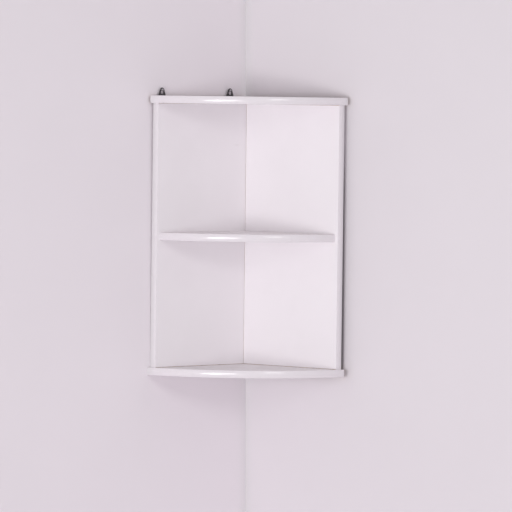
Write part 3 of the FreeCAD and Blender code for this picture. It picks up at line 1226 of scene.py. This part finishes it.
@dataclass
class HangerPlate:
    """A keyhole plate of pressed steel on the left panel's back."""

    node: str
    carcass: Carcass
    finishes: Finishes
    shoulder: float = 2.5 * MM
    apex_radius: float = 6.2 * MM
    foot_radius: float = 3.0 * MM
    eye_radius: float = 4.5 * MM
    eye_rise: float = 7.3 * MM
    slot_half: float = 2.3 * MM
    slot_end_rise: float = 12.2 * MM
    screw_drops: tuple[float, float] = (27.0 * MM, 51.0 * MM)
    screw_head: float = 3.55 * MM
    screw_shank: float = 1.8 * MM
    arris: float = 0.3 * MM
    arris_angle: float = math.radians(60)
    foot_steps: int = 8
    apex_steps: int = 24

    @property
    def middle(self) -> float:
        """The plate's middle along X."""
        low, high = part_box(self.node)
        return (low.x + high.x) / 2

    def outline(self) -> list[Vector]:
        """Draw the plate on the panel's back, with its apex and feet rounded.

        Returns:
            The outline's corners in order.
        """
        low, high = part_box(self.node)
        half = (high.x - low.x) / 2
        top = self.carcass.height
        apex = high.z - top - self.apex_radius
        gap = math.hypot(half, self.shoulder - apex)
        lean = math.atan2(self.shoulder - apex, half) + math.acos(self.apex_radius / gap)
        foot = low.z - top + self.foot_radius
        points = []
        for step in range(self.foot_steps + 1):
            turn = math.radians(270 + 90 * step / self.foot_steps)
            points.append((half - self.foot_radius + self.foot_radius * math.cos(turn),
                           foot + self.foot_radius * math.sin(turn)))
        points.append((half, self.shoulder))
        straight = len(points)
        for step in range(self.apex_steps + 1):
            turn = lean + (math.pi - 2 * lean) * step / self.apex_steps
            points.append((self.apex_radius * math.cos(turn),
                           apex + self.apex_radius * math.sin(turn)))
        mirrored = [(-x, z) for x, z in reversed(points[:straight])]
        return [Vector((self.middle + x, low.y, top + z)) for x, z in points + mirrored]

    def keyhole(self) -> list[bmesh.types.BMesh]:
        """Make the tools for the round eye, the slot and the slot's round end.

        Returns:
            Closed meshes.
        """
        low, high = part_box(self.node)
        deep = high.y - low.y
        through = 3 * deep
        start = Vector((self.middle, high.y + deep, self.carcass.height))
        rounds = ((self.eye_radius, self.eye_rise), (self.slot_half, self.slot_end_rise))
        tools = []
        for radius, rise in rounds:
            profile = [(0.0, 0.0), (radius, 0.0), (radius, through), (0.0, through)]
            tools.append(revolved(profile, start + UP * rise, -ALONG_Y))
        slot = bmesh.new()
        bmesh.ops.create_cube(slot, size=1.0)
        tall = self.slot_end_rise - self.eye_rise
        bmesh.ops.scale(slot, vec=(2 * self.slot_half, through, tall), verts=slot.verts)
        middle = start + Vector((0, -through / 2, self.eye_rise + tall / 2))
        bmesh.ops.translate(slot, vec=middle, verts=slot.verts)
        return [*tools, slot]

    def countersinks(self) -> list[bmesh.types.BMesh]:
        """Make the tools for the plate's countersunk screw holes.

        Returns:
            Closed meshes.
        """
        low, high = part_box(self.node)
        deep = high.y - low.y
        tools = []
        for drop in self.screw_drops:
            start = Vector((self.middle, high.y, self.carcass.height - drop))
            profile = [(0.0, -deep), (self.screw_head, -deep), (self.screw_head, 0.0)]
            profile += [(self.screw_shank, deep), (self.screw_shank, 2 * deep), (0.0, 2 * deep)]
            tools.append(revolved(profile, start, -ALONG_Y))
        return tools

    def make(self) -> None:
        """Build the plate, round its arrises and dress it."""
        low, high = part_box(self.node)
        bm = prism(self.outline(), ALONG_Y * (high.y - low.y))
        rims = [edge for edge in bm.edges if edge.calc_face_angle(0.0) > self.arris_angle]
        soften(bm, rims, self.arris)
        plate = to_object(bm, f"{self.node}_plate", [self.finishes.steel])
        carve(plate, self.keyhole() + self.countersinks())
        hand_over(plate, self.node)


@dataclass
class Fasteners:
    """The bought-in screws, caps and dowels, which keep the frame's own shapes."""

    finishes: Finishes

    def make(self) -> None:
        """Give every fastener its finish."""
        for node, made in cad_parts.items():
            if node.endswith("_screws"):
                self.dress(made, self.finishes.zinc)
            elif node.endswith("_caps"):
                self.dress(made, self.finishes.cap)
            elif node.endswith("_dowels"):
                self.dress(made, self.finishes.beech)

    def dress(self, made: bpy.types.Object, material: bpy.types.Material) -> None:
        """Give one node its material.

        Args:
            made: the node's object.
            material: its finish.
        """
        made.data.materials.clear()
        made.data.materials.append(material)
        LOG.info("%s: %s", made.name, material.name)


# Studio


@dataclass(frozen=True)
class Viewpoint:
    """The camera: a long lens, far away, a little above the cabinet's top."""

    distance: float = 11.273
    bearing: float = 46.827
    pitch: float = 1.888
    roll: float = 0.75
    right: float = 0.0251
    down: float = 0.0491
    aim_height: float = 0.3
    lens: float = 362.3
    sensor: float = 36.0
    near: float = 0.1
    far: float = 100.0

    def axes(self) -> tuple[Vector, Vector, Vector]:
        """Work out the picture's own directions.

        Returns:
            The directions to its right, up and forward.
        """
        turn = math.radians(self.bearing)
        dip = math.radians(self.pitch)
        tip = math.radians(self.roll)
        ahead = Vector((math.sin(turn), math.cos(turn), 0)) * math.cos(dip) - UP * math.sin(dip)
        level = Vector((math.cos(turn), -math.sin(turn), 0))
        rise = level.cross(ahead)
        right = level * math.cos(tip) + rise * math.sin(tip)
        up = rise * math.cos(tip) - level * math.sin(tip)
        return right, up, ahead

    def place(self, corner: Vector) -> None:
        """Make the camera and point it at the rear corner.

        Args:
            corner: the rear corner, on the plane of the underside.
        """
        right, up, ahead = self.axes()
        aim = corner + UP * self.aim_height
        eye = aim - ahead * self.distance + right * self.right - up * self.down
        lens = bpy.data.cameras.new("viewpoint")
        lens.lens = self.lens
        lens.sensor_width = self.sensor
        lens.sensor_fit = "HORIZONTAL"
        lens.clip_start = self.near
        lens.clip_end = self.far
        camera = bpy.data.objects.new("viewpoint", lens)
        bpy.context.scene.collection.objects.link(camera)
        turn = Matrix((right, up, -ahead)).transposed().to_4x4()
        camera.matrix_world = Matrix.Translation(eye) @ turn
        bpy.context.scene.camera = camera


@dataclass(frozen=True)
class Softbox:
    """A rectangular soft lamp that faces the cabinet."""

    name: str
    bearing: float
    elevation: float
    distance: float
    width: float
    height: float
    power: float

    def place(self, aim: Vector) -> None:
        """Hang the lamp.

        Args:
            aim: the point it faces.
        """
        turn, lift = math.radians(self.bearing), math.radians(self.elevation)
        back = Vector((-math.sin(turn), -math.cos(turn), 0)) * math.cos(lift) + UP * math.sin(lift)
        data = bpy.data.lights.new(self.name, "AREA")
        data.shape = "RECTANGLE"
        data.size = self.width
        data.size_y = self.height
        data.energy = self.power
        lamp = bpy.data.objects.new(self.name, data)
        turned = back.to_track_quat("Z", "Y").to_matrix().to_4x4()
        lamp.matrix_world = Matrix.Translation(aim + back * self.distance) @ turned
        bpy.context.scene.collection.objects.link(lamp)


@dataclass(frozen=True)
class WallScrew:
    """A domed screw in the wall, which a plate hangs on. It belongs to the wall."""

    head: float = 3.1 * MM
    shank: float = 1.9 * MM
    proud: float = 2.0 * MM
    crown_shares: tuple[float, ...] = (0.0, 0.55, 0.85, 1.0)
    crown_depths: tuple[float, ...] = (0.0, 0.15 * MM, 0.6 * MM, 1.4 * MM)
    rim_end: float = 1.9 * MM
    neck_end: float = 2.2 * MM
    length: float = 12.0 * MM

    def build(self, plate: HangerPlate, metal: bpy.types.Material) -> bpy.types.Object:
        """Turn the screw and set it in a plate's slot.

        Args:
            plate: the plate.
            metal: the screw's finish.

        Returns:
            The screw.
        """
        rise = plate.carcass.height + plate.slot_end_rise
        start = Vector((plate.middle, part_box(plate.node)[0].y - self.proud, rise))
        crown = zip(self.crown_shares, self.crown_depths)
        profile = [(self.head * share, depth) for share, depth in crown]
        profile += [(self.head, self.rim_end), (self.shank, self.neck_end)]
        profile += [(self.shank, self.length), (0.0, self.length)]
        return to_object(revolved(profile, start, ALONG_Y), f"wall_screw_{plate.node}", [metal])


@dataclass
class Studio:
    """The pale backdrop, the floor, the soft lamps, the wall screws and the camera."""

    carcass: Carcass
    finishes: Finishes
    view: Viewpoint = field(default_factory=Viewpoint)
    floor_drop: float = 1.2
    floor_reach: float = 2.4
    board_width: float = 1.7
    board_height: float = 1.7
    left_gap: float = 4.0 * MM
    right_gap: float = 8.0 * MM
    left_lean: float = -1.0 / 300
    right_lean: float = 7.0 / 300
    shade_inset: float = 7.0 * MM
    lamp_inset: float = 0.1
    # The left board's paint is lighter than the right's to make up for the light it lacks: painted
    # light.
    left_paint: Colour = (0.826, 0.776, 0.817)
    right_paint: Colour = (0.735, 0.694, 0.728)
    floor_paint: Colour = (0.830, 0.790, 0.822)
    world_tone: Colour = (1.0, 0.99, 1.0)
    world_level: float = 0.52

    def sheet(self, name: str, corners: list[Vector], paint: StagePaint, towards: Vector) -> None:
        """Make a flat sheet of the stage.

        Args:
            name: its name.
            corners: its corners in order.
            paint: its paint.
            towards: a direction that its painted side faces.
        """
        made = to_object(flat_face(corners), name, [paint.build()])
        if made.data.polygons[0].normal.dot(towards) < 0:
            made.data.flip_normals()

    def backdrop(self) -> None:
        """Stand two pale boards behind the cabinet, upright in the picture, and a floor."""
        right = self.view.axes()[0]
        level = Vector((right.x, right.y, 0)).normalized()
        tip = math.radians(self.view.roll)
        plumb = UP * math.cos(tip) - level * math.sin(tip)
        half_height = self.carcass.height / 2
        hinge = self.carcass.corner + Vector((self.right_gap, self.left_gap, half_height))
        high = hinge + plumb * self.board_height
        low = hinge - plumb * (self.floor_drop + half_height)
        left_paint = StagePaint("left_backdrop_paint", self.left_paint, lets_light_by=True)
        # The right board's paint carries painted shade in the gap behind the right panel.
        right_paint = StagePaint(
            "right_backdrop_paint", self.right_paint, lets_light_by=True,
            shade=GapShade(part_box("right_panel")[0].y + self.shade_inset),
        )
        boards = (
            ("backdrop_left", left_paint, Vector((-1, self.left_lean, 0))),
            ("backdrop_right", right_paint, Vector((self.right_lean, -1, 0))),
        )
        for name, paint, way in boards:
            out = way * self.board_width
            self.sheet(name, [low, low + out, high + out, high], paint, -ALONG_X - ALONG_Y)
        reach, drop = self.floor_reach, self.floor_drop
        ends = ((-1, -1), (1, -1), (1, 1), (-1, 1))
        floor = [Vector((x * reach, y * reach, -drop)) for x, y in ends]
        self.sheet("floor", floor, StagePaint("floor_paint", self.floor_paint), UP)

    def lamps(self) -> None:
        """Light the cabinet: two low lamps from the left, a high fill and two rear lamps."""
        inset = self.lamp_inset
        aim = self.carcass.corner + Vector((-inset, -inset, self.carcass.height / 2))
        ahead = self.view.bearing
        boxes = (
            Softbox("key_left", bearing=ahead + 26.5, elevation=-4.5, distance=6.0,
                    width=1.3, height=1.2, power=67.0),
            Softbox("fill_right", bearing=ahead - 26.5, elevation=14.0, distance=6.0,
                    width=1.4, height=0.9, power=33.0),
            Softbox("front_left", bearing=ahead + 15.0, elevation=-2.0, distance=7.0,
                    width=2.3, height=1.5, power=97.0),
            Softbox("rear_left", bearing=ahead + 150.0, elevation=30.0, distance=6.0,
                    width=2.4, height=2.4, power=36.0),
            Softbox("rear_right", bearing=ahead - 150.0, elevation=30.0, distance=6.0,
                    width=2.4, height=2.4, power=36.0),
        )
        for box in boxes:
            box.place(aim)

    def world(self) -> None:
        """Fill the room with even light, and show a pale tone to the camera and in reflections."""
        world = bpy.data.worlds.new("pale_room")
        world.use_nodes = True
        tree = world.node_tree
        tree.nodes.clear()
        output = tree.nodes.new("ShaderNodeOutputWorld")
        lit = tree.nodes.new("ShaderNodeBackground")
        seen = tree.nodes.new("ShaderNodeBackground")
        choice = tree.nodes.new("ShaderNodeMixShader")
        path = tree.nodes.new("ShaderNodeLightPath")
        lit.inputs["Color"].default_value = (*self.world_tone, 1.0)
        lit.inputs["Strength"].default_value = self.world_level
        seen.inputs["Color"].default_value = (*self.right_paint, 1.0)
        seen.inputs["Strength"].default_value = 1.0
        shown = path.outputs["Is Camera Ray"]
        for kind in ("Is Glossy Ray", "Is Transmission Ray"):
            either = tree.nodes.new("ShaderNodeMath")
            either.operation = "MAXIMUM"
            tree.links.new(shown, either.inputs[0])
            tree.links.new(path.outputs[kind], either.inputs[1])
            shown = either.outputs[0]
        tree.links.new(shown, choice.inputs[0])
        tree.links.new(lit.outputs["Background"], choice.inputs[1])
        tree.links.new(seen.outputs["Background"], choice.inputs[2])
        tree.links.new(choice.outputs["Shader"], output.inputs["Surface"])
        bpy.context.scene.world = world

    def wall_screws(self) -> None:
        """Put a wall screw through each plate's slot."""
        metal = ZincPlate(
            "wall_screw_zinc", tone=(0.42, 0.41, 0.43), stained=(0.30, 0.28, 0.28), roughness=0.38
        ).build()
        for node in HANGERS:
            WallScrew().build(HangerPlate(node, self.carcass, self.finishes), metal)

    def make(self) -> None:
        """Build the whole studio."""
        bpy.context.scene.view_settings.view_transform = "Standard"
        self.backdrop()
        self.lamps()
        self.world()
        self.wall_screws()
        self.view.place(self.carcass.corner)


# Assembly


def build_cabinet() -> None:
    """Build and dress every sub-assembly in order."""
    carcass = Carcass()
    finishes = Finishes()
    down, front, left = Vector((0, 0, -1)), Vector((0, -1, 0)), Vector((-1, 0, 0))
    top_left = screw_places("top_left_screws", 0, down)
    top_right = screw_places("top_right_screws", 1, down)
    bottom_left = screw_places("bottom_left_screws", 0, UP)
    bottom_right = screw_places("bottom_right_screws", 1, UP)
    dowels_top, dowels_bottom = dowel_places("top_dowels"), dowel_places("bottom_dowels")
    shelf_left = screw_places("shelf_left_screws", 0, front)
    shelf_right = screw_places("shelf_right_screws", 1, left)
    corner = screw_places("corner_screws", 2, front)
    low, high = corner[0].place, corner[1].place
    corner.append(BoardScrewBore((low + high) / 2, front))
    through_top = [*top_left, *top_right, *dowels_top]
    through_bottom = [*bottom_left, *bottom_right, *dowels_bottom]
    through_shelf = shelf_left + shelf_right
    in_left = shelf_left + corner + top_left + bottom_left + [dowels_top[0], dowels_bottom[0]]
    in_right = shelf_right + corner + top_right + bottom_right + [dowels_top[1], dowels_bottom[1]]
    QuarterBoard("top_board", carcass, finishes, bores=through_top).make()
    QuarterBoard("bottom_board", carcass, finishes, bores=through_bottom).make()
    QuarterBoard("middle_shelf", carcass, finishes, between_panels=True, bores=through_shelf).make()
    SidePanel(Side.LEFT, carcass, finishes, bores=in_left).make()
    SidePanel(Side.RIGHT, carcass, finishes, bores=in_right).make()
    for node in HANGERS:
        HangerPlate(node, carcass, finishes).make()
    Fasteners(finishes).make()
    Studio(carcass, finishes).make()


def main() -> None:
    """Build the scene."""
    logging.basicConfig(level=logging.INFO, format="%(name)s %(message)s")
    build_cabinet()


if __name__ == "__main__":
    main()
